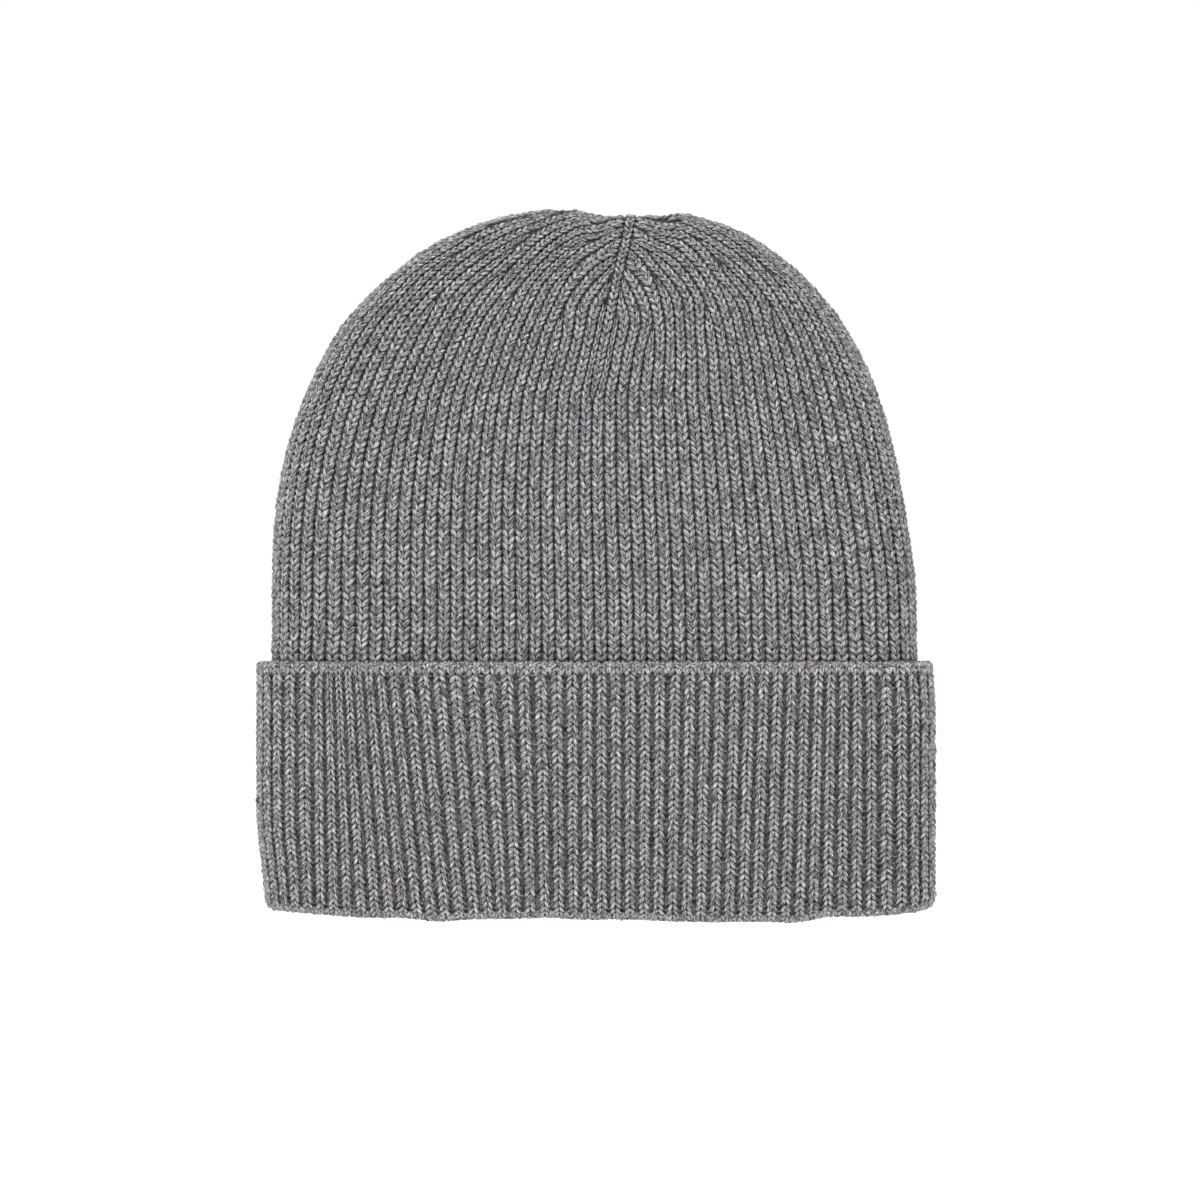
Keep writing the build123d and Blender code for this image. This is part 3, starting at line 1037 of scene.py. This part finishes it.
def build_gather():
    """The thread that draws the crown's last stitches together: two small turns at the apex."""
    cloth = Cloth("crown_gather")
    for radius, drop, lift in GATHER_TURNS:
        a = np.linspace(0.0, 1.94 * np.pi, GATHER_POINTS)
        centre = np.stack([APEX_SHIFT + radius * np.cos(a), 0.8 * radius * np.sin(a),
                           HAT_TOP - drop + lift * np.sin(a * 2)], axis=1)
        ahead = np.gradient(centre, axis=0)
        ahead /= np.linalg.norm(ahead, axis=1, keepdims=True)
        aside = np.cross(ahead, (0, 0, 1.0))
        over = np.cross(aside, ahead)
        turn = 2 * np.pi * np.arange(SEGMENTS) / SEGMENTS
        rings = (centre[1:-1, None] + GATHER_YARN * np.cos(turn)[None, :, None] * aside[1:-1, None]
                 + GATHER_YARN * np.sin(turn)[None, :, None] * over[1:-1, None]).reshape(-1, 3)
        points = np.concatenate([centre[:1], rings, centre[-1:]])
        cloth.add(points[None], points[None], np.array([0.5]), 1.0,
                  tube_faces(GATHER_POINTS, SEGMENTS))
    piece = cloth.build(BODY_YARN, "seam_thread")
    settle(piece)
    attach(piece, "shell")
    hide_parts("crown_gather_thread")


build_gather()


LABEL_BILLOW = 0.5              # how far the label's free edge stands off, towards the front
LABEL_WAVE = 0.15
LABEL_THINNING = 0.7            # of the CAD label's thickness


def build_label():
    """The care label: sewn at its top edge, and free below it."""
    low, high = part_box("care_label")
    rows, columns = 17, 13
    v, u = np.meshgrid(np.linspace(0, 1, rows), np.linspace(0, 1, columns), indexing="ij")
    x = (low.x + (high.x - low.x) * u) / MM
    z = (high.z - (high.z - low.z) * v) / MM
    y = (low.y + high.y) / 2 / MM - LABEL_BILLOW * v**2 + LABEL_WAVE * np.sin(np.pi * 2 * u) * v
    half = (high.y - low.y) / 2 / MM * LABEL_THINNING
    cloth = Cloth("care_label_cloth")
    front, back = (np.stack([x, y + shift, z], axis=-1)[::-1] for shift in (-half, half))
    add_slab(cloth, front, back, 1.0)
    piece = cloth.build(LABEL_CLOTH, "label_cloth")
    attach(piece, "shell")
    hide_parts("care_label")


build_label()


# --- Floor, light and camera ---------------------------------------------------------------------------

FRAME_WIDTH = 376.5             # what the view takes in, at the hat
VIEW_CENTRE = (1.7, 0.0, 101.0)
CAMERA_DISTANCE = 1600.0
FLOOR = -84.0                   # low enough for the cuff to turn right down
FLOOR_HALF = 40000.0            # far enough for the floor to meet the sky unseen
FLOOR_GLOW = 0.14               # keeps the floor as white as the sky


def build_floor():
    half = FLOOR_HALF * MM
    mesh = bpy.data.meshes.new("floor")
    corners = [(-half, -half, FLOOR * MM), (half, -half, FLOOR * MM),
               (half, half, FLOOR * MM), (-half, half, FLOOR * MM)]
    mesh.from_pydata(corners, [], [(0, 1, 2, 3)])
    paper = plain_material("floor_paper", (0.9, 0.9, 0.9), 0.9)
    shader = paper.node_tree.nodes["Principled BSDF"]
    shader.inputs["Emission Color"].default_value = (1, 1, 1, 1)
    shader.inputs["Emission Strength"].default_value = FLOOR_GLOW
    mesh.materials.append(paper)
    floor = bpy.data.objects.new("floor", mesh)
    bpy.context.scene.collection.objects.link(floor)


def aimed(item, place, target):
    item.location = Vector(place) * MM
    item.rotation_euler = (Vector(target) - Vector(place)).to_track_quat("-Z", "Y").to_euler()
    bpy.context.scene.collection.objects.link(item)


def soft_light(name, place, size, power):
    lamp = bpy.data.lights.new(name, "AREA")
    lamp.shape = "DISK"
    lamp.size = size * MM
    lamp.energy = power
    aimed(bpy.data.objects.new(name, lamp), place, (0, 0, 110))


build_floor()
soft_light("key", (-800, -1300, 1300), 800, 20)
soft_light("fill", (1300, -1300, 500), 1200, 6)
soft_light("top", (0, 200, 1800), 1400, 9)

world = bpy.data.worlds.new("studio")
world.use_nodes = True
world.node_tree.nodes["Background"].inputs["Color"].default_value = (1, 1, 1, 1)
world.node_tree.nodes["Background"].inputs["Strength"].default_value = 1.0
scene = bpy.context.scene
scene.world = world
scene.view_settings.view_transform = "Standard"

lens = bpy.data.cameras.new("camera")
lens.sensor_width = 36
lens.lens = lens.sensor_width * CAMERA_DISTANCE / FRAME_WIDTH
lens.clip_start = 0.05
camera = bpy.data.objects.new("camera", lens)
aimed(camera, (VIEW_CENTRE[0], -CAMERA_DISTANCE, VIEW_CENTRE[2]), VIEW_CENTRE)
scene.camera = camera
